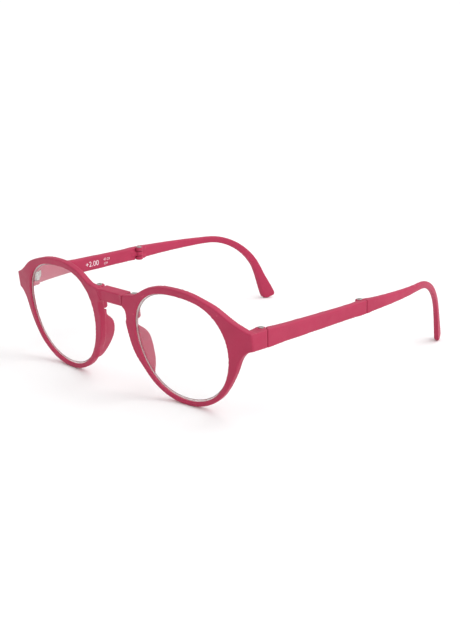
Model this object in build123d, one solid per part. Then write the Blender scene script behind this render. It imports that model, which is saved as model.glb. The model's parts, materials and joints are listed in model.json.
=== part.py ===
from build123d import *
import os
from math import cos, exp, radians, sin, sqrt

# Folding reading glasses, standing open on a table.
# X runs across the face, +Y runs back towards the ears, +Z is up.
# The origin is on the table, under the middle of the frame.

# ---- the front ----
stand_angle = 0.3           # the open frame leans this far back, on to its tips
lean = 7.6                  # the top of the front leans forward, in degrees
wrap = 4.8                  # each rim turns back from the bridge, in degrees
lens_z = 23.4               # height of the lens centres
rim_depth = 2.6
wing_start = 54.0           # from here the rim bends back to the endpiece
wing_radius = 40.0
wing_angle = 11.0

# ---- lens opening, in the rim's own plane ----
lens_u = 35.05              # lens centre, out from the middle
lens_half_width = 23.32
lens_half_height = 21.28
rim_width = 2.35            # face of the rim, on average
rim_top_gain = 0.45         # wider over the lens, and as much narrower under it
rim_outer_gain = 2.3        # wider where the rim meets the endpiece
bevel_height = 0.6          # the lens edge stands this far into the groove
lens_edge = 1.0             # thickness of the lens at its edge
lens_front = 1.0            # the groove starts this far behind the front face
lens_front_radius = 285.0
lens_back_radius = 690.0
lens_front_rise = 0.85      # the middle of the front face stands this far forward
lens_back_rise = 0.35

# ---- bridge ----
bridge_pin_x = 10.2
bridge_pin_back = 4.4
bridge_top = 16.4
bridge_bottom = 11.6
bridge_half_top = 7.4       # half the gap between the rims, at the top seam
bridge_half_bottom = 6.2
bridge_knuckle_r = 2.1
bridge_depth = 5.6
bridge_lug_foot = 7.0
bridge_roof = 1.2           # thickness of the rim's upper lug

# ---- temples ----
temple_x = 68.6             # outer face at the front hinge
seam_y = 14.9               # rear face of the endpiece
temple_pin_in = 3.2         # hinge axis, in from the outer face
temple_pin_y = 14.5
temple_lug_r = 2.0
temple_thick = 3.0
temple_foot = 28.2
temple_top = 35.4
eye_foot = 30.2
eye_top = 33.6
fold_x = 67.5               # outer face at the folding hinge
fold_y = 70.9               # rear face of the front half
fold_pin_in = 3.1
fold_pin_ahead = 1.0
fold_lug_r = 1.7
fold_thick = 2.8
fold_foot = 29.4
fold_top = 34.9

# ---- ear end of the temple ----
ear_line_z = 32.2           # height of the straight part's middle
bend_y = 109.0
bend_radius = 25.3
bend_angle = 69.7
slim_half_width = 1.5
tip_half_width = 2.65
tip_corner = 1.6
tip_reach = 14.9            # from the end of the bend to the end of the tip
inward_slope = 0.031
inward_reach = 13.0         # how far the curve brings the tip in
inward_power = 2.52
inward_length = 65.4
bend_thick = 1.8
tip_thick = 2.7

# ---- fits and screws ----
gap = 0.15                  # between pieces that turn past each other
screw_r = 0.6
screw_play = 0.05
screw_end = 0.6             # the blind holes stop this far above the lowest face
head_r = 1.1
head_thick = 0.6
slot_width = 0.3
slot_depth = 0.25

rim_place = Pos(0, 0, lens_z) * Rot(X=lean) * Rot(Z=wrap)
bridge_place = Pos(0, 0, lens_z) * Rot(X=lean)
temple_pin_x = temple_x - temple_pin_in
fold_pin_x = fold_x - fold_pin_in
fold_pin_y = fold_y - fold_pin_ahead


def block(x0, x1, y0, y1, z0, z1):
    """A box from its low and high sides."""
    size = (x1 - x0, y1 - y0, z1 - z0)
    return Pos((x0 + x1) / 2, (y0 + y1) / 2, (z0 + z1) / 2) * Box(*size)


def post(x, y, radius, z0, z1):
    """An upright cylinder."""
    return Pos(x, y, (z0 + z1) / 2) * Cylinder(radius, z1 - z0)


def eye_radius(angle):
    """Radius of the lens opening: an ellipse with a few soft harmonics."""
    a = radians(angle)
    oval = 1 / sqrt((cos(a) / lens_half_width) ** 2 + (sin(a) / lens_half_height) ** 2)
    soft = 1 + 0.007 * cos(3 * a) + 0.03 * sin(3 * a) - 0.018 * cos(4 * a) - 0.016 * sin(2 * a)
    return oval * soft


def loop_point(angle, extra):
    radius = eye_radius(angle) + extra(angle)
    return lens_u + radius * cos(radians(angle)), 0, radius * sin(radians(angle))


def loop_face(extra):
    """The lens opening, grown outwards by extra(angle), as a face."""
    points = [loop_point(step * 7.5, extra) for step in range(48)]
    return make_face(Spline(*points, periodic=True).edges())


def no_extra(angle):
    return 0


def bevel(angle):
    return bevel_height


def rim_face_width(angle):
    """Width of the rim's face: more at the top, most at the endpiece."""
    turn = (angle + 180) % 360 - 180
    return rim_width + rim_top_gain * sin(radians(angle)) + rim_outer_gain * exp(-(((turn - 5) / 22) ** 2))


def rim_point(angle):
    """Where the outer edge of the plain rim is, at this angle."""
    return loop_point(angle, rim_face_width)


def rim_tangent(angle, turn):
    """Direction of the outer edge there: turn is 1 or -1."""
    ahead = Vector(*rim_point(angle + turn)) - Vector(*rim_point(angle - turn))
    return ahead.normalized()


def outline(*edges):
    return make_face(Wire(edges))


def at(points):
    """Points given as (u, z) in the rim's plane."""
    return [(u, 0, z) for u, z in points]


def wing_face():
    """The part of the face that reaches out to the endpiece."""
    top = Spline(
        rim_point(62),
        *at([(54.6, 18.5), (61.0, 14.4), (66.0, 11.6), (70.5, 10.2)]),
        tangents=[rim_tangent(62, -1), Vector(1, 0, -0.15)],
    )
    foot = Spline(
        *at([(70.5, 4.0), (66.2, 2.8), (63.8, 0.6)]),
        rim_point(-9),
        tangents=[Vector(-1, 0, -0.15), rim_tangent(-9, -1)],
    )
    return outline(
        top,
        Line(top @ 1, foot @ 0),
        foot,
        Line(foot @ 1, (50, 0, 0)),
        Line((50, 0, 0), top @ 0),
    )


def nasal_face():
    """The face between the lens and the nose, up to the bridge seam."""
    brow = Spline(
        *at([(11.4, 17.0), (13.8, 17.6), (17.4, 19.6)]),
        rim_point(116),
        tangents=[Vector(1, 0, 0), rim_tangent(116, -1)],
    )
    nose = Spline(
        *at([(7.4, 5.9), (7.9, 1.6), (8.9, -3.0), (10.9, -7.9)]),
        rim_point(-145),
        tangents=[Vector(0, 0, -1), rim_tangent(-145, 1)],
    )
    throat = Spline(*at([(bridge_half_bottom, bridge_bottom), (7.5, 10.6), (8.0, 8.7), (7.4, 5.9)]))
    return outline(
        Line((bridge_half_top, 0, bridge_top), brow @ 0),
        brow,
        Line(brow @ 1, nose @ 1),
        nose,
        throat,
        Line(throat @ 0, (bridge_half_top, 0, bridge_top)),
    )


def rim_slab():
    """The thickness of the rim from above: flat, then bent back to the endpiece."""
    middle = (wing_start, wing_radius)
    front_arc = CenterArc(middle, wing_radius, -90, wing_angle)
    back_arc = CenterArc(middle, wing_radius - rim_depth, -90, wing_angle)
    reach = 14
    step = Vector(reach * cos(radians(wing_angle)), reach * sin(radians(wing_angle)))
    plan = outline(
        Line((0, 0), front_arc @ 0),
        front_arc,
        Line(front_arc @ 1, (front_arc @ 1) + step),
        Line((front_arc @ 1) + step, (back_arc @ 1) + step),
        Line((back_arc @ 1) + step, back_arc @ 1),
        back_arc,
        Line(back_arc @ 0, (0, rim_depth)),
        Line((0, rim_depth), (0, 0)),
    )
    return Pos(0, 0, -40) * extrude(plan, 80, dir=(0, 0, 1))


def rim_plate():
    """The body of the rim: its face, cut from the bent slab."""
    face = loop_face(rim_face_width) + wing_face() + nasal_face()
    return (Pos(0, -1, 0) * extrude(face, 14, dir=(0, 1, 0))) & rim_slab()


def lens_seat():
    """The opening in the rim, with the groove that holds the lens."""
    opening = Pos(0, -1, 0) * extrude(loop_face(no_extra), 1 + rim_depth, dir=(0, 1, 0))
    return opening + Pos(0, lens_front, 0) * extrude(loop_face(bevel), lens_edge, dir=(0, 1, 0))


def nose_pad():
    """The moulded pad: a fin that grows out of the nasal side of the rim."""
    stations = [
        # height, front edge (u), rear edge (u, back)
        (6.4, 7.7, 8.6, 4.4),
        (3.0, 7.9, 9.5, 5.5),
        (0.5, 8.4, 10.7, 7.8),
        (-3.7, 9.3, 11.8, 8.9),
        (-7.7, 11.0, 13.0, 8.3),
        (-11.2, 12.9, 14.4, 6.8),
        (-15.2, 16.0, 16.6, 3.6),
    ]
    sections = []
    for z, front_u, rear_u, back in stations:
        corners = [(front_u, 0.8, z), (rear_u, back, z), (rear_u + 1.4, back - 0.2, z), (front_u + 2.8, 0.8, z)]
        sections.append(make_face(Polyline(*corners, close=True)))
    return loft(sections)


def endpiece():
    """The corner block between the rim and the temple hinge."""
    inner = temple_pin_x - temple_lug_r
    side = make_face(
        Polyline(
            (0, 3.0, temple_foot),
            (0, seam_y, temple_foot),
            (0, seam_y, temple_top),
            (0, 3.0, temple_top - 1.3),
            close=True,
        )
    )
    body = Pos(inner, 0, 0) * extrude(side, temple_x - inner, dir=(1, 0, 0))
    body = body & (rim_place * Pos(0, 0.1, 0) * (rim_slab() + Pos(0, 1, 0) * rim_slab() + block(50, 90, 4, 40, -30, 30)))
    foot, top = eye_foot - gap, eye_top + gap
    hollow = block(inner - 1, temple_x - 2.4, seam_y - 3.1, seam_y + 1, foot, top)
    hollow += post(temple_pin_x, temple_pin_y, temple_lug_r + gap / 2, foot, top)
    return body - hollow


def temple_lugs():
    """Two ears of the endpiece that hold the temple screw."""
    low = post(temple_pin_x, temple_pin_y, temple_lug_r, temple_foot, eye_foot - gap)
    high = post(temple_pin_x, temple_pin_y, temple_lug_r, eye_top + gap, temple_top)
    return low + high


def bridge_levels():
    """Heights of the two faces between the rim's ears and the link's knuckle."""
    return bridge_bottom, bridge_top - bridge_roof


def bridge_lugs():
    """Two ears of the rim, over and under the knuckle of the bridge link."""
    low, high = bridge_levels()
    x, back, r = bridge_pin_x, bridge_pin_back, bridge_knuckle_r
    ears = []
    for z0, z1 in ((bridge_lug_foot, low), (high, bridge_top)):
        ears.append(post(x, back, r, z0, z1))
        ears.append(block(x - r, x + r, 1.0, back, z0, z1))
    return ears[0] + ears[1:]


def bridge_pocket():
    """Room in the rim for the knuckle and the end of the bridge link."""
    low, high = bridge_levels()
    knuckle = post(bridge_pin_x, bridge_pin_back, bridge_knuckle_r + gap, low, high)
    swing = block(0, bridge_pin_x, bridge_pin_back - bridge_knuckle_r - gap, 12, low, high)
    return knuckle + swing + link_wedge(0)


def link_wedge(inset):
    """The space between the two rims, narrower at its foot."""
    a, b = bridge_half_top - inset, bridge_half_bottom - inset
    z0, z1 = bridge_bottom - 0.6, bridge_top + 0.6
    slope = (a - b) / (bridge_top - bridge_bottom)
    a, b = a + 0.6 * slope, b - 0.6 * slope
    face = make_face(Polyline((-a, 0, z1), (a, 0, z1), (b, 0, z0), (-b, 0, z0), close=True))
    return Pos(0, -2, 0) * extrude(face, 14, dir=(0, 1, 0))


def screw_hole(x, y, foot, top, radius):
    """A bore for the shank, with a seat for the head at its top."""
    return post(x, y, radius, foot, top + 1) + post(x, y, head_r + 0.05, top - head_thick / 2, top + 1)


def screw(x, y, foot, top):
    """A slotted hinge screw, its head half sunk in its seat."""
    body = post(x, y, screw_r, foot, top) + post(x, y, head_r, top - head_thick / 2, top + head_thick / 2)
    slot_top = top + head_thick / 2
    return body - block(x - 2, x + 2, y - slot_width / 2, y + slot_width / 2, slot_top - slot_depth, slot_top + 1)


def rim_right():
    body = rim_place * (rim_plate() + nose_pad())
    body = body + endpiece() + temple_lugs()
    body = body + bridge_place * bridge_lugs()
    body = body - rim_place * lens_seat()
    body = body - bridge_place * bridge_pocket()
    body = body - block(temple_x, 90, -20, 40, 0, 60)
    bridge_hole = screw_hole(bridge_pin_x, bridge_pin_back, bridge_lug_foot + screw_end, bridge_top, screw_r)
    temple_hole = screw_hole(temple_pin_x, temple_pin_y, temple_foot + screw_end, temple_top, screw_r)
    return body - bridge_place * bridge_hole - temple_hole


def lens_right():
    """A thin reading lens: bulged in front, slightly hollow behind."""
    edge = Pos(0, lens_front, 0) * extrude(loop_face(bevel), lens_edge, dir=(0, 1, 0))
    dome = Pos(lens_u, lens_front - lens_front_rise + lens_front_radius, 0) * Sphere(lens_front_radius)
    bulge = extrude(loop_face(no_extra), lens_front + lens_edge / 2, dir=(0, 1, 0)) & dome
    bowl_back = lens_front + lens_edge - lens_back_rise + lens_back_radius
    bowl = Pos(lens_u, bowl_back, 0) * Sphere(lens_back_radius)
    return rim_place * (edge + bulge - bowl)


def bridge_link():
    """The middle of the bridge, with a knuckle at each end."""
    low, high = bridge_levels()
    low, high = low + gap, high - gap
    x, back, r = bridge_pin_x, bridge_pin_back, bridge_knuckle_r
    body = link_wedge(gap) & block(-x, x, 0, bridge_depth, bridge_bottom, bridge_top)
    body += block(-x, x, back - r, bridge_depth, low, high)
    for side in (-1, 1):
        body += post(side * x, back, r, low, high)
        body -= post(side * x, back, r + gap, high, bridge_top + 1)
        body -= post(side * x, back, r + gap, bridge_bottom - 1, low)
        body -= post(side * x, back, screw_r + screw_play, low - 1, high + 1)
    recess = make_face(
        Polyline((-7.6, -1, 0), (7.6, -1, 0), (7.6, 0.2, 0), (5.4, 0.9, 0), (-5.4, 0.9, 0), (-7.6, 0.2, 0), close=True)
    )
    body -= Pos(0, 0, bridge_bottom - 1) * extrude(recess, 12, dir=(0, 0, 1))
    return bridge_place * body


def temple_front_right():
    """The front half of the temple, from the endpiece to the folding hinge."""
    y0 = seam_y + gap
    plan = make_face(
        Polyline(
            (temple_x, y0, 0),
            (fold_x, fold_y, 0),
            (fold_x - fold_thick, fold_y, 0),
            (temple_x - temple_thick, y0, 0),
            close=True,
        )
    )
    top = Spline((0, y0, temple_top), (0, 44, 34.9), (0, fold_y, fold_top))
    foot = Spline((0, fold_y, fold_foot), (0, 44, 28.8), (0, y0, temple_foot))
    side = outline(top, Line(top @ 1, foot @ 0), foot, Line(foot @ 1, top @ 0))
    body = extrude(plan, 60, dir=(0, 0, 1)) & (Pos(50, 0, 0) * extrude(side, 30, dir=(1, 0, 0)))
    body -= post(temple_pin_x, temple_pin_y, temple_lug_r + gap, 20, 40)
    body -= hinge_leaf()
    return body + fold_tongue() - fold_clearance_front() - fold_bore(screw_r + screw_play)


def hinge_leaf():
    """The steel leaf that is moulded into the inner face of the temple."""
    x0 = temple_pin_x + 0.2
    return block(x0, x0 + 1.2, temple_pin_y, temple_pin_y + 9.5, eye_foot + 0.3, eye_top - 0.3)


def temple_eye_right():
    """The steel eye of the temple hinge, with its leaf."""
    eye = post(temple_pin_x, temple_pin_y, temple_lug_r - 0.1, eye_foot, eye_top)
    body = eye + hinge_leaf()
    return body - post(temple_pin_x, temple_pin_y, screw_r + screw_play, eye_foot - 1, eye_top + 1)


def fold_tongue():
    """The middle knuckle of the folding hinge, on the front half."""
    knuckle = post(fold_pin_x, fold_pin_y, fold_lug_r, 31.15, 33.1)
    arm = block(fold_pin_x, fold_pin_x + 2.2, fold_pin_y - 4, fold_pin_y, 31.15, 33.1)
    return knuckle + arm


def fold_clearance_front():
    """Room in the front half for the two ears of the rear half."""
    rooms = []
    for z0, z1 in ((20, 31.15), (33.1, 50)):
        rooms.append(post(fold_pin_x, fold_pin_y, fold_lug_r + gap, z0, z1))
        rooms.append(block(fold_pin_x - 4, fold_pin_x + fold_lug_r + gap, fold_pin_y, fold_y + 1, z0, z1))
    return rooms[0] + rooms[1:]


def fold_bore(radius):
    return post(fold_pin_x, fold_pin_y, radius, 28, 40)


def ear_path(s):
    """Middle of the ear end in side view: straight, then an arc, then straight."""
    straight = bend_y - fold_y
    arc = radians(bend_angle) * bend_radius
    if s <= straight:
        return fold_y + s, ear_line_z, 0.0
    if s <= straight + arc:
        a = (s - straight) / bend_radius
        return bend_y + bend_radius * sin(a), ear_line_z - bend_radius * (1 - cos(a)), a
    a = radians(bend_angle)
    rest = s - straight - arc
    y = bend_y + bend_radius * sin(a) + rest * cos(a)
    z = ear_line_z - bend_radius * (1 - cos(a)) - rest * sin(a)
    return y, z, a


def ear_half_width(s):
    """Half the height of the ear end: tapers to the bend, swells to the tip."""
    straight = bend_y - fold_y
    slim = slim_half_width
    if s < straight:
        return slim + ((fold_top - fold_foot) / 2 - slim) * (1 - s / straight) ** 0.92
    swell_start = straight + radians(bend_angle) * bend_radius - 0.7
    if s < swell_start:
        return slim
    share = (s - swell_start) / (tip_reach + 0.7)
    return slim + (tip_half_width - slim) * sin(radians(90) * min(share, 1)) ** 1.6


def ear_side_face():
    """Side view of the ear end."""
    length = bend_y - fold_y + radians(bend_angle) * bend_radius + tip_reach
    upper, lower = [], []
    for step in range(15):
        s = gap + (length - gap) * step / 14
        y, z, a = ear_path(s)
        w = ear_half_width(s)
        upper.append((0, y + w * sin(a), z + w * cos(a)))
        lower.append((0, y - w * sin(a), z - w * cos(a)))
    top = Spline(*upper)
    foot = Spline(*lower[::-1])
    face = outline(top, Line(upper[-1], lower[-1]), foot, Line(lower[0], upper[0]))
    corners = face.vertices().sort_by(Axis.Z)[:2]
    return fillet(corners, tip_corner)


def ear_thickness(share):
    """Thickness of the ear end: thinnest in the bend."""
    if share < 0.5:
        return fold_thick - (fold_thick - bend_thick) * sin(radians(180) * share)
    return bend_thick + (tip_thick - bend_thick) * (2 * share - 1)


def ear_plan_face():
    """The ear end from above: it curves in towards the head."""
    outer, inner = [], []
    for step in range(12):
        t = gap + (inward_length + 6 - gap) * step / 11
        share = t / inward_length
        x = fold_x - inward_slope * t - inward_reach * share**inward_power
        thick = ear_thickness(min(share, 1))
        outer.append((x, fold_y + t, 0))
        inner.append((x - thick, fold_y + t, 0))
    outside = Spline(*outer)
    inside = Spline(*inner[::-1])
    return outline(outside, Line(outer[-1], inner[-1]), inside, Line(inner[0], outer[0]))


def temple_rear_right():
    """The ear end of the temple, with the two ears of the folding hinge."""
    body = extrude(ear_plan_face(), 60, dir=(0, 0, 1))
    body = body & (Pos(30, 0, 0) * extrude(ear_side_face(), 60, dir=(1, 0, 0)))
    body -= post(fold_pin_x, fold_pin_y, fold_lug_r + gap, 31.0, 33.25)
    for z0, z1 in ((fold_foot, 31.0), (33.25, fold_top)):
        body += post(fold_pin_x, fold_pin_y, fold_lug_r, z0, z1)
        body += block(fold_pin_x, fold_pin_x + fold_lug_r, fold_pin_y, fold_pin_y + 4, z0, z1)
    return body - screw_hole(fold_pin_x, fold_pin_y, fold_foot + screw_end, fold_top, screw_r)


def right_side():
    """Every piece of the right side, by name."""
    bridge_screw = screw(bridge_pin_x, bridge_pin_back, bridge_lug_foot + screw_end, bridge_top)
    return {
        "rim_right": rim_right(),
        "lens_right": lens_right(),
        "bridge_screw_right": bridge_place * bridge_screw,
        "temple_screw_right": screw(temple_pin_x, temple_pin_y, temple_foot + screw_end, temple_top),
        "temple_eye_right": temple_eye_right(),
        "temple_front_right": temple_front_right(),
        "fold_screw_right": screw(fold_pin_x, fold_pin_y, fold_foot + screw_end, fold_top),
        "temple_rear_right": temple_rear_right(),
    }


def all_parts():
    parts = {"bridge_link": bridge_link()}
    for name, shape in right_side().items():
        parts[name] = shape
        parts[name.replace("right", "left")] = mirror(shape, Plane.YZ)
    return parts


def stand_on_table(parts):
    """Set the lowest point on the table and the middle of the length at the origin."""
    turned = {name: Rot(X=-stand_angle) * shape for name, shape in parts.items()}
    boxes = [shape.bounding_box() for shape in turned.values()]
    floor = min(box.min.Z for box in boxes)
    middle = (min(box.min.Y for box in boxes) + max(box.max.Y for box in boxes)) / 2
    print("front is", round(middle, 3), "ahead of the origin, raised", round(-floor, 3))
    return {name: Pos(0, -middle, -floor) * shape for name, shape in turned.items()}


os.makedirs("parts", exist_ok=True)
for name, shape in stand_on_table(all_parts()).items():
    export_step(shape, f"parts/{name}.step")
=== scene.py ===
# %% [markdown]
# # Folding reading glasses
# The frame is moulded in a soft, matt raspberry plastic. It folds in the
# bridge, where each side turns on its own small screw, at the two temple
# hinges, and once more in the middle of each temple. The solid model already
# says where each piece is, so this lesson is about skins and finishes: the
# plastic's rounded edges, two clear lenses with ground edges, and bright
# little screws.

import json
from math import radians

import bmesh
import bpy
import numpy as np
from mathutils import Matrix, Vector
from mathutils.bvhtree import BVHTree


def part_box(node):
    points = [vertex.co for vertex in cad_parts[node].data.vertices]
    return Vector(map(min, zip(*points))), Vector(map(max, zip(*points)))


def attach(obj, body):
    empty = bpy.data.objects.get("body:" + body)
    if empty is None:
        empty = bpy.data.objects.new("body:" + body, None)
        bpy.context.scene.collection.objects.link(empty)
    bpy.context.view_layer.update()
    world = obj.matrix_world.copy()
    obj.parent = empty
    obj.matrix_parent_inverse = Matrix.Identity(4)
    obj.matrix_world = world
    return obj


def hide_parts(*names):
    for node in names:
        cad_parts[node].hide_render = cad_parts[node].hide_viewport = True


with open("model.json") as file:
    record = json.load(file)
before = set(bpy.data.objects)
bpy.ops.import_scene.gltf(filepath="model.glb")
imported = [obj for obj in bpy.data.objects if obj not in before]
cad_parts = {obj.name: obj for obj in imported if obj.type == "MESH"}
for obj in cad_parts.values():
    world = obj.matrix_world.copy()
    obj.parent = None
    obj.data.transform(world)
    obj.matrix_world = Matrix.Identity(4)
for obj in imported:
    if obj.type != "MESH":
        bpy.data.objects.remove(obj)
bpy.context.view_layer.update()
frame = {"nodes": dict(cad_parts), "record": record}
MM = 0.001
record = frame["record"]
body_of = {node: body for body, nodes in record["behaviour"]["bodies"].items() for node in nodes}
SIDES = {"right": 1, "left": -1}


def hinge_y(name):
    """How far back a hinge is, in metres."""
    return next(j["pos_m"][1] for j in record["behaviour"]["joints"] if j["name"] == name)


# %% [markdown]
# ## A small kit for materials
# Every finish is a node tree. A few helpers keep the cells short: one starts a
# material, one adds a node with its values set, and one gives a noise field on
# the object's own coordinates. A grain size in millimetres becomes the noise
# scale, because a scale of 1 makes cells about one metre wide.

# %% Helpers for node trees
def new_finish(name):
    """A material, its node tree and its Principled shader."""
    finish = bpy.data.materials.new(name)
    finish.use_nodes = True
    return finish, finish.node_tree, finish.node_tree.nodes["Principled BSDF"]


def add_node(tree, kind, inputs=(), **settings):
    """A node of one kind, with its settings and its unlinked inputs."""
    node = tree.nodes.new(kind)
    for key, value in settings.items():
        setattr(node, key, value)
    for key, value in dict(inputs).items():
        node.inputs[key].default_value = value
    return node


def grain(tree, size_mm, detail=3.0, stretch=(1, 1, 1)):
    """A noise field whose cells are about size_mm wide, stretched along the axes."""
    place = add_node(tree, "ShaderNodeTexCoord")
    turn = add_node(tree, "ShaderNodeMapping", {"Scale": stretch})
    noise = add_node(tree, "ShaderNodeTexNoise", {"Scale": 1 / (size_mm * MM), "Detail": detail})
    tree.links.new(place.outputs["Object"], turn.inputs["Vector"])
    tree.links.new(turn.outputs["Vector"], noise.inputs["Vector"])
    return noise.outputs["Fac"]


def spread(tree, field, low_value, high_value, start=0.3, end=0.7):
    """Stretch a field from start..end to low_value..high_value."""
    node = add_node(
        tree,
        "ShaderNodeMapRange",
        {"From Min": start, "From Max": end, "To Min": low_value, "To Max": high_value},
    )
    tree.links.new(field, node.inputs["Value"])
    return node.outputs["Result"]


def blend_colours(tree, amount, first, second):
    """first where amount is 0, second where it is 1. Either may be a colour or a socket."""
    mix = add_node(tree, "ShaderNodeMix", data_type="RGBA")
    tree.links.new(amount, mix.inputs["Factor"])
    for socket, colour in ((mix.inputs["A"], first), (mix.inputs["B"], second)):
        if isinstance(colour, bpy.types.NodeSocket):
            tree.links.new(colour, socket)
        else:
            socket.default_value = (*colour, 1)
    return mix.outputs["Result"]


def relief(tree, shader, field, height_mm, strength):
    """Give the shader a bump from the field, height_mm deep."""
    bump = add_node(tree, "ShaderNodeBump", {"Strength": strength, "Distance": height_mm * MM})
    tree.links.new(field, bump.inputs["Height"])
    tree.links.new(bump.outputs["Normal"], shader.inputs["Normal"])


# %% [markdown]
# ## Soft-touch plastic
# The frame is nylon with a rubbery matt coat. Such a coat scatters light at
# glancing angles, which is what Sheen does, and has a grain far finer than a
# millimetre. Two slower noises move the colour and the roughness a little, as
# handling does, and Pointiness finds the sharp outer edges, where a paler pink
# is mixed in as a painted highlight along the bevels.

# %% Raspberry soft-touch plastic
RASPBERRY = (0.44, 0.016, 0.072)
RASPBERRY_DEEP = (0.39, 0.013, 0.062)
# a paler pink, painted on the sharp edges as a highlight
RASPBERRY_EDGE_HIGHLIGHT = (0.58, 0.075, 0.15)


def raspberry_plastic():
    finish, tree, shader = new_finish("raspberry_soft_touch")
    shader.inputs["Sheen Weight"].default_value = 0.06
    shader.inputs["Sheen Roughness"].default_value = 0.45
    shader.inputs["Sheen Tint"].default_value = (1.0, 0.72, 0.80, 1)
    shader.inputs["IOR"].default_value = 1.46
    clouds = spread(tree, grain(tree, 14, 4.0), 0.0, 1.0)
    colour = blend_colours(tree, clouds, RASPBERRY, RASPBERRY_DEEP)
    shape = add_node(tree, "ShaderNodeNewGeometry")
    # painted highlight: Pointiness picks out the convex edges, and the paler pink is mixed in there
    edges = spread(tree, shape.outputs["Pointiness"], 0.0, 0.55, 0.52, 0.60)
    tree.links.new(blend_colours(tree, edges, colour, RASPBERRY_EDGE_HIGHLIGHT), shader.inputs["Base Color"])
    tree.links.new(spread(tree, grain(tree, 3, 4.0), 0.50, 0.62), shader.inputs["Roughness"])
    relief(tree, shader, grain(tree, 0.22, 2.0), 0.02, 0.35)
    return finish


plastic = raspberry_plastic()
print("plastic:", len(plastic.node_tree.nodes), "nodes")

# %% [markdown]
# ## Steel
# The screws and the hinge eyes are plain turned steel. A noise that is
# squeezed in height makes rings round an upright pin, like the marks a lathe
# leaves. A second noise dulls the metal in patches, and Pointiness finds the
# slots and corners, which are painted near-black as shade.

# %% Turned steel
def turned_steel():
    finish, tree, shader = new_finish("turned_steel")
    shader.inputs["Metallic"].default_value = 1.0
    rings = grain(tree, 0.6, 3.0, (0.5, 0.5, 6.0))
    patches = spread(tree, grain(tree, 0.9, 2.0), 0.0, 1.0)
    colour = blend_colours(tree, patches, (0.62, 0.60, 0.57), (0.42, 0.40, 0.38))
    shape = add_node(tree, "ShaderNodeNewGeometry")
    # painted shade: the concave slots and corners are mixed towards near-black
    painted_slot_shade = spread(tree, shape.outputs["Pointiness"], 1.0, 0.0, 0.40, 0.50)
    tree.links.new(blend_colours(tree, painted_slot_shade, colour, (0.05, 0.035, 0.035)), shader.inputs["Base Color"])
    tree.links.new(spread(tree, rings, 0.20, 0.38), shader.inputs["Roughness"])
    relief(tree, shader, rings, 0.01, 0.4)
    return finish


steel = turned_steel()
print("steel:", len(steel.node_tree.nodes), "nodes")

# %% [markdown]
# ## Lens and ground edge
# The lens is clear plastic. A Principled shader with full transmission bends
# and mirrors light as the real one does, and a very faint noise in its
# roughness stands for finger marks. Its edge is ground to fit the groove, so
# it is frosted. From the front the bevel behind the glass shows as two pale
# lines with the dark reflection of the groove between them.

# %% Clear lens and frosted edge
def lens_clear():
    finish, tree, shader = new_finish("lens_clear")
    shader.inputs["Transmission Weight"].default_value = 1.0
    shader.inputs["IOR"].default_value = 1.5
    tint = spread(tree, grain(tree, 30, 2.0), 0.0, 1.0)
    colour = blend_colours(tree, tint, (0.985, 0.99, 0.99), (0.965, 0.98, 0.975))
    tree.links.new(colour, shader.inputs["Base Color"])
    tree.links.new(spread(tree, grain(tree, 9, 5.0), 0.0, 0.03, 0.4, 0.8), shader.inputs["Roughness"])
    return finish


def lens_ground():
    """Ground bevel: the UV's v runs over it, pale at both edges and dark where it mirrors the groove."""
    finish, tree, shader = new_finish("lens_ground_edge")
    speckle = spread(tree, grain(tree, 0.12, 2.0), 0.0, 1.0)
    frost = blend_colours(tree, speckle, (0.98, 0.95, 0.92), (0.92, 0.88, 0.86))
    across = add_node(tree, "ShaderNodeSeparateXYZ")
    tree.links.new(add_node(tree, "ShaderNodeUVMap").outputs["UV"], across.inputs["Vector"])
    band = add_node(tree, "ShaderNodeValToRGB")
    stops = band.color_ramp.elements
    for element, (place, level) in zip((stops[0], stops[1], stops.new(0.5)), ((0.34, 0), (0.66, 0), (0.5, 1))):
        element.position, element.color = place, (level, level, level, 1)
    tree.links.new(across.outputs["Y"], band.inputs["Fac"])
    colour = blend_colours(tree, band.outputs["Color"], frost, (0.16, 0.035, 0.045))
    tree.links.new(colour, shader.inputs["Base Color"])
    tree.links.new(spread(tree, grain(tree, 0.3), 0.5, 0.8), shader.inputs["Roughness"])
    relief(tree, shader, grain(tree, 0.12, 2.0), 0.02, 0.5)
    shader.inputs["Transmission Weight"].default_value = 0.6
    return finish


clear, ground = lens_clear(), lens_ground()
print("lens finishes:", clear.name, ground.name)

# %% [markdown]
# ## Soft edges on moulded pieces
# Nothing that comes out of a mould has a knife edge. A bevel would have to
# follow the curved seams where the rim, the nose pad and the hinge ears meet,
# and it breaks there. So each plastic piece is cast again: a copy of the solid
# is merged into one closed skin, a voxel remesh turns that into an even net,
# and a few rounds of smoothing pull every edge to a small radius. The smoothing
# is a plain average: new place = (1 - share) x old place + share x the mean of
# the neighbours, so flat stretches stay where they are and only edges move.

# %% Cast a solid again with soft edges
def closed_copy(node):
    """A merged copy of a node's loose triangles, as one skin."""
    skin = frame["nodes"][node].data.copy()
    skin.materials.clear()
    shape = bmesh.new()
    shape.from_mesh(skin)
    bmesh.ops.remove_doubles(shape, verts=shape.verts, dist=1e-6)
    shape.to_mesh(skin)
    shape.free()
    return skin


def even_net(skin, name, voxel_mm):
    """The skin as an even net of small squares."""
    piece = bpy.data.objects.new(name, skin)
    bpy.context.scene.collection.objects.link(piece)
    remesh = piece.modifiers.new("net", "REMESH")
    remesh.mode = "VOXEL"
    remesh.voxel_size = voxel_mm * MM
    ready = piece.evaluated_get(bpy.context.evaluated_depsgraph_get())
    net = bpy.data.meshes.new_from_object(ready)
    piece.modifiers.clear()
    piece.data = net
    bpy.data.meshes.remove(skin)
    return piece


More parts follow.
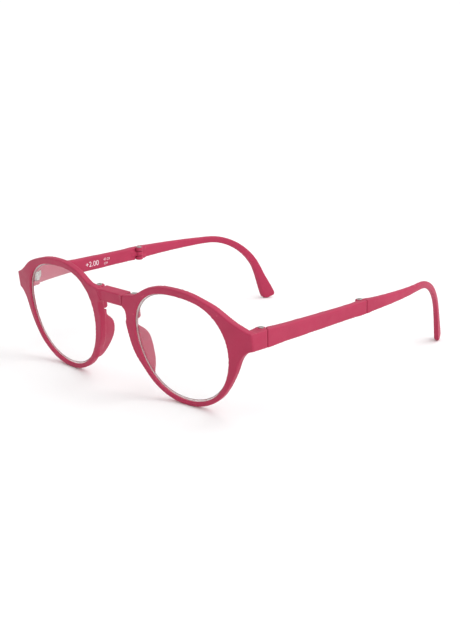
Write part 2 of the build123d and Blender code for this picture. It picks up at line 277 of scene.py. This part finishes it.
def smooth_net(mesh, rounds, crisp=()):
    """Repeat: place = (1 - share) x place + share x mean of the neighbours.

    The share is one half. After the first few rounds it fades to nothing near
    the hinges named in crisp, from 7 mm away to 3 mm away along y.
    """
    count = len(mesh.vertices)
    place = mesh_points(mesh)
    away = np.ones((count, 1))
    for hinge in crisp:
        away *= np.clip((np.abs(place[:, 1:2] - hinge_y(hinge)) / MM - 3) / 4, 0, 1)
    ends = np.empty(len(mesh.edges) * 2, int)
    mesh.edges.foreach_get("vertices", ends)
    a, b = ends.reshape(-1, 2).T
    neighbours = np.bincount(a, minlength=count) + np.bincount(b, minlength=count)
    for number in range(rounds):
        share = 0.5 if number < 6 else 0.5 * away
        total = np.stack(
            [np.bincount(a, p[b], count) + np.bincount(b, p[a], count) for p in place.T], axis=1
        )
        place = (1 - share) * place + share * total / neighbours[:, None]
    mesh.vertices.foreach_set("co", place.ravel())
    mesh.update()


def cast_again(node, voxel_mm, rounds, finish, crisp=()):
    """Stand a soft-edged casting in for a solid node."""
    piece = even_net(closed_copy(node), "cast_" + node, voxel_mm)
    smooth_net(piece.data, rounds, crisp)
    piece.data.shade_smooth()
    piece.data.materials.append(finish)
    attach(piece, body_of[node])
    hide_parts(node)
    print(piece.name, len(piece.data.polygons), "faces")
    return piece


# %% [markdown]
# ## The lens opening
# Both the rim's opening and the lens follow one outline, an ellipse times a few
# soft harmonics. It lies in a plane that leans back and wraps a little round
# the face, and the middle of the solid lens's box says where that plane is.
# The net of a casting leaves small teeth where the opening meets the lens
# groove at an angle, so the opening is trued after casting, as a cutter trues
# the real one: each point of the rim's front layer that stands inside the
# outline is moved straight out to it.

# %% The lens outline and its plane
LENS_HALF_WIDTH, LENS_HALF_HEIGHT = 23.32, 21.28
FRONT_LEAN, FRONT_WRAP = 7.3, 4.8
RIDGE_OUT, RIDGE_BACK = 0.6, 1.5


def outline_radius(angle):
    """Ellipse radius 1 / sqrt((cos/a)^2 + (sin/b)^2), times soft harmonics, in mm."""
    oval = 1 / np.hypot(np.cos(angle) / LENS_HALF_WIDTH, np.sin(angle) / LENS_HALF_HEIGHT)
    soft = 1 + 0.007 * np.cos(3 * angle) + 0.03 * np.sin(3 * angle)
    return oval * (soft - 0.018 * np.cos(4 * angle) - 0.016 * np.sin(2 * angle))


def on_plane(radius, depth, angle):
    """Rows of (radius cos, depth, radius sin, 1), in mm from the lens's centre."""
    spots = np.broadcast_arrays(radius * np.cos(angle), depth, radius * np.sin(angle), 1.0)
    return np.stack(spots, axis=-1).reshape(-1, 4)


def lens_plane():
    """Millimetres from the right lens's centre to metres in the frame.

    Turn by the wrap, then the lean, then move the middle of the turned ridge
    to the middle of the solid lens's box.
    """
    turn = Matrix.Rotation(radians(FRONT_LEAN), 4, "X") @ Matrix.Rotation(radians(FRONT_WRAP), 4, "Z")
    angle = np.linspace(0, 2 * np.pi, 720)
    ridge = on_plane(outline_radius(angle) + RIDGE_OUT, RIDGE_BACK, angle)
    turned = (ridge @ np.array(turn).T)[:, :3]
    start, end = (np.array(corner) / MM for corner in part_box("lens_right"))
    shift = (start + end - turned.min(axis=0) - turned.max(axis=0)) / 2
    return Matrix.Scale(MM, 4) @ Matrix.Translation(shift) @ turn


to_frame = np.array(lens_plane())
print("lens centre:", (to_frame[:3, 3] / MM).round(3), "mm")

# %% True the opening of a rim
def mesh_points(mesh):
    """The vertices as rows of x, y, z."""
    flat = np.empty(len(mesh.vertices) * 3)
    mesh.vertices.foreach_get("co", flat)
    return flat.reshape(-1, 3)


def true_opening(mesh, side_sign):
    """radius = max(radius, outline) for the points within 3 mm of the front face."""
    mirror = (side_sign, 1, 1)
    place = np.column_stack([mesh_points(mesh) * mirror, np.ones(len(mesh.vertices))])
    local = place @ np.linalg.inv(to_frame).T
    angle = np.arctan2(local[:, 2], local[:, 0])
    outline = outline_radius(angle)
    short = (np.hypot(local[:, 0], local[:, 2]) < outline) & (local[:, 1] < 3)
    local[short] = on_plane(outline, local[:, 1], angle)[short]
    mesh.vertices.foreach_set("co", ((local @ to_frame.T)[:, :3] * mirror).ravel())
    mesh.update()
    print("trued:", int(short.sum()), "points")


# %% [markdown]
# ## The frame
# The two rims carry the nose pads, the endpieces and the ears of the hinges.
# The bridge link, the front halves of the temples and the ear ends follow. A
# net of a quarter of a millimetre is fine enough for the hinge ears and keeps
# each piece well under two hundred thousand triangles. The temples are rounder
# than the rims, so they get more smoothing away from their hinges.

# %% Cast the plastic pieces
for side in SIDES:
    temple_hinge, fold_hinge = "temple_fold_" + side, "ear_end_fold_" + side
    rim = cast_again("rim_" + side, 0.25, 8, plastic)
    true_opening(rim.data, SIDES[side])
    cast_again("temple_front_" + side, 0.22, 40, plastic, (temple_hinge, fold_hinge))
    cast_again("temple_rear_" + side, 0.2, 40, plastic, (fold_hinge,))
cast_again("bridge_link", 0.16, 12, plastic)

# %% [markdown]
# ## Screws and hinge eyes
# The metal pieces are much smaller, so they get a much finer net. Two rounds
# of smoothing break the edge of a screw head without closing its slot.

# %% Cast the metal pieces
for side in SIDES:
    for screw in ("bridge_screw_", "temple_screw_", "fold_screw_"):
        cast_again(screw + side, 0.06, 2, steel)
    cast_again("temple_eye_" + side, 0.1, 3, steel)

# %% [markdown]
# ## Lenses
# A lens is a surface of two parameters: the angle round its centre, and a
# step that runs from the middle of the front, out to the edge, over the ground
# bevel and back to the middle of the back. Each face is part of a large ball.

# %% Make both lenses
BEVEL_WIDTH = 0.6
FRONT, EDGE, BACK = 0, 1, 2


def lens_profile():
    """Rows of: share of the outline, millimetres past it, and which face."""
    out = np.sin(np.linspace(0.03, 1, 22) * np.pi / 2)
    front = [(share, -0.05, FRONT) for share in out]
    edge = [(1.0, 0.35, EDGE), (1.0, 0.35, EDGE), (1.0, -0.05, BACK)]
    back = [(share, -BEVEL_WIDTH, BACK) for share in out[::-1]]
    return np.array(front + edge + back)


def lens_depth(radius, face):
    """Depth behind the rim's front: ball radius - sqrt(ball radius^2 - radius^2) + start."""
    front = 0.15 + 285 - np.sqrt(285**2 - radius**2)
    back = 1.65 + 690 - np.sqrt(690**2 - radius**2)
    depth = np.where(face == FRONT, front, back)
    depth[:, np.flatnonzero(face == EDGE)] = (1.3, 1.75)
    return depth


def lens_points(side_sign, steps=192):
    """place(angle, step) = (share x outline + past) along the angle, at the face's depth."""
    angle = np.linspace(0, 2 * np.pi, steps, endpoint=False)[:, None]
    share, past, face = lens_profile().T
    radius = outline_radius(angle) * share + past
    placed = on_plane(radius, lens_depth(radius, face), angle) @ to_frame.T
    return placed[:, :3] * (side_sign, 1, 1), steps, len(share)


def closed_grid(rows, columns):
    """Quads of a grid whose rows join up in a ring."""
    row = np.arange(rows)[:, None]
    column = np.arange(columns - 1)[None, :]
    here, along = row * columns + column, (row + 1) % rows * columns + column
    return np.stack([here, along, along + 1, here + 1], axis=-1).reshape(-1, 4)


def make_lens(side):
    points, rows, columns = lens_points(SIDES[side])
    mesh = bpy.data.meshes.new("lens_blank_" + side)
    quads = closed_grid(rows, columns)
    poles = [[r * columns for r in range(rows)], [r * columns + columns - 1 for r in range(rows)]]
    mesh.from_pydata(points.tolist(), [], quads.tolist() + poles)
    step = np.arange(len(quads)) % (columns - 1)
    _, past, face = lens_profile().T
    on_edge = (face[step + 1] != FRONT) & (past[step] > -BEVEL_WIDTH)
    mesh.materials.append(clear)
    mesh.materials.append(ground)
    mesh.polygons.foreach_set("material_index", np.append(on_edge.astype(np.int32), [0, 0]))
    corner = np.empty(len(mesh.loops), int)
    mesh.loops.foreach_get("vertex_index", corner)
    row, column = np.divmod(corner, columns)
    across = np.where(face[column] == BACK, (-0.05 - past[column]) / (BEVEL_WIDTH - 0.05), 0.0)
    uv = np.stack([row / rows, across], axis=1)
    mesh.uv_layers.new(name="UVMap").data.foreach_set("uv", uv.ravel())
    shape = bmesh.new()
    shape.from_mesh(mesh)
    bmesh.ops.recalc_face_normals(shape, faces=shape.faces)
    shape.to_mesh(mesh)
    shape.free()
    mesh.shade_smooth()
    mesh.set_sharp_from_angle(angle=radians(40))
    piece = bpy.data.objects.new("clear_lens_" + side, mesh)
    bpy.context.scene.collection.objects.link(piece)
    piece.visible_shadow = False
    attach(piece, body_of["lens_" + side])
    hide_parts("lens_" + side)
    return piece


lenses = [make_lens(side) for side in SIDES]
print("lenses:", [len(lens.data.polygons) for lens in lenses], "faces")

# %% [markdown]
# ## The printed power
# Reading glasses carry their power in small white figures on the inner side of
# a temple, and beside it the lens and bridge widths and the temple length. The
# print is a thin mesh: the figures are set flat, thickened by a few hundredths
# of a millimetre, and laid on the temple's inner face, which a ray cast from
# inside finds.

# %% White print on the left temple
def white_ink():
    finish, tree, shader = new_finish("white_ink")
    worn = spread(tree, grain(tree, 0.5, 3.0), 0.0, 1.0)
    tree.links.new(blend_colours(tree, worn, (0.86, 0.80, 0.82), (0.70, 0.50, 0.56)), shader.inputs["Base Color"])
    shader.inputs["Roughness"].default_value = 0.6
    return finish


def inner_face(piece, y, z):
    """Where a ray from the middle of the glasses meets the left temple, in metres."""
    skin = BVHTree.FromObject(bpy.data.objects[piece], bpy.context.evaluated_depsgraph_get())
    return skin.ray_cast(Vector((0, y, z)), Vector((-1, 0, 0)))[0]


def flat_figures(text, height_mm):
    """Figures as a thin closed mesh, set flat from the origin."""
    letters = bpy.data.curves.new("figures", "FONT")
    letters.body = text
    letters.size = height_mm * MM
    letters.extrude = 0.02 * MM
    setter = bpy.data.objects.new("figures", letters)
    bpy.context.scene.collection.objects.link(setter)
    mesh = bpy.data.meshes.new_from_object(setter.evaluated_get(bpy.context.evaluated_depsgraph_get()))
    bpy.data.objects.remove(setter)
    return mesh


def print_figures(name, text, back_mm, up_mm, height_mm):
    """Lay figures on the left temple, measured from the front and foot of its box."""
    start_corner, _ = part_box("temple_front_left")
    y, z = start_corner.y + back_mm * MM, start_corner.z + up_mm * MM
    start = inner_face("cast_temple_front_left", y, z)
    along = (inner_face("cast_temple_front_left", y + 0.015, z) - start).normalized()
    up = Vector((0, 0, 1))
    turn = Matrix((along, up, along.cross(up))).transposed().to_4x4()
    mesh = flat_figures(text, height_mm)
    mesh.transform(Matrix.Translation(start) @ turn)
    mesh.materials.clear()
    mesh.materials.append(ink)
    piece = bpy.data.objects.new(name, mesh)
    bpy.context.scene.collection.objects.link(piece)
    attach(piece, "temple_left")
    print(name, text, len(mesh.polygons), "faces")


ink = white_ink()
print_figures("print_2_00", "+2.00", 24.94, 2.4, 3.2)
print_figures("print_47-23", "47-23", 34.94, 3.8, 1.5)
print_figures("print_139", "139", 34.94, 2.0, 1.5)

# %% [markdown]
# ## Floor, light and camera
# The glasses stand on a white table in a bright tent. A wide disc under a
# white sky has no visible edge. The sky is brighter on the right and behind,
# so the face of the frame is a little darker than its sides. A very soft sun,
# high on the right and a little behind, lights the temples more than the face,
# and a soft box overhead puts a pale line on the upper edges.

# %% White table
def disc_mesh(radius, z, steps=96):
    """A flat disc: (radius cos, radius sin, z)."""
    angle = np.linspace(0, 2 * np.pi, steps, endpoint=False)
    points = np.stack([radius * np.cos(angle), radius * np.sin(angle), np.full(steps, z)], axis=1)
    mesh = bpy.data.meshes.new("table_top")
    mesh.from_pydata(points.tolist(), [], [list(range(steps))])
    return mesh


def table_white():
    finish, tree, shader = new_finish("table_white")
    tone = spread(tree, grain(tree, 180, 3.0), 0.0, 1.0)
    tree.links.new(blend_colours(tree, tone, (0.97, 0.97, 0.97), (0.95, 0.95, 0.95)), shader.inputs["Base Color"])
    shader.inputs["Roughness"].default_value = 0.8
    return finish


table = bpy.data.objects.new("table", disc_mesh(6.0, -0.02 * MM))
bpy.context.scene.collection.objects.link(table)
table.data.materials.append(table_white())

# %% Sky and lamps
world = bpy.data.worlds.new("tent")
world.use_nodes = True
sky = world.node_tree
sky.nodes["Background"].inputs["Color"].default_value = (1, 1, 1, 1)
aim = add_node(sky, "ShaderNodeTexCoord")
facing = add_node(sky, "ShaderNodeVectorMath", {1: (0.62, 0.66, 0.42)}, operation="DOT_PRODUCT")
sky.links.new(aim.outputs["Generated"], facing.inputs[0])
sky.links.new(spread(sky, facing.outputs["Value"], 0.60, 0.88, -0.6, 0.7), sky.nodes["Background"].inputs["Strength"])
bpy.context.scene.world = world


def aim_lamp(kind, name, place, power, **settings):
    """A lamp at a place, turned to the middle of the glasses."""
    lamp = bpy.data.lights.new(name, kind)
    lamp.energy = power
    for key, value in settings.items():
        setattr(lamp, key, value)
    holder = bpy.data.objects.new(name, lamp)
    holder.location = place
    holder.rotation_euler = (Vector((0, 0, 0.025)) - Vector(place)).to_track_quat("-Z", "Y").to_euler()
    bpy.context.scene.collection.objects.link(holder)


aim_lamp("SUN", "window", (0.62, 0.25, 0.74), 1.35, angle=radians(90))
aim_lamp("AREA", "top_box", (0.15, 0.35, 0.8), 1.0, size=0.5)

# %% Camera
def look(place, right, up, back, lens):
    """A camera at a place, its axes given as unit vectors."""
    view = bpy.data.cameras.new("view")
    view.lens = lens
    view.clip_start = 0.01
    camera = bpy.data.objects.new("view", view)
    turn = Matrix((Vector(right), Vector(up), Vector(back))).transposed()
    camera.matrix_world = Matrix.Translation(place) @ turn.to_4x4()
    bpy.context.scene.collection.objects.link(camera)
    return camera


bpy.context.scene.view_settings.view_transform = "Standard"
bpy.context.scene.camera = look(
    place=(0.433602, -0.429327, 0.189329),
    right=(0.70115, 0.71289, -0.01301),
    up=(-0.18956, 0.20397, 0.96045),
    back=(0.68735, -0.67095, 0.27815),
    lens=85.11,
)
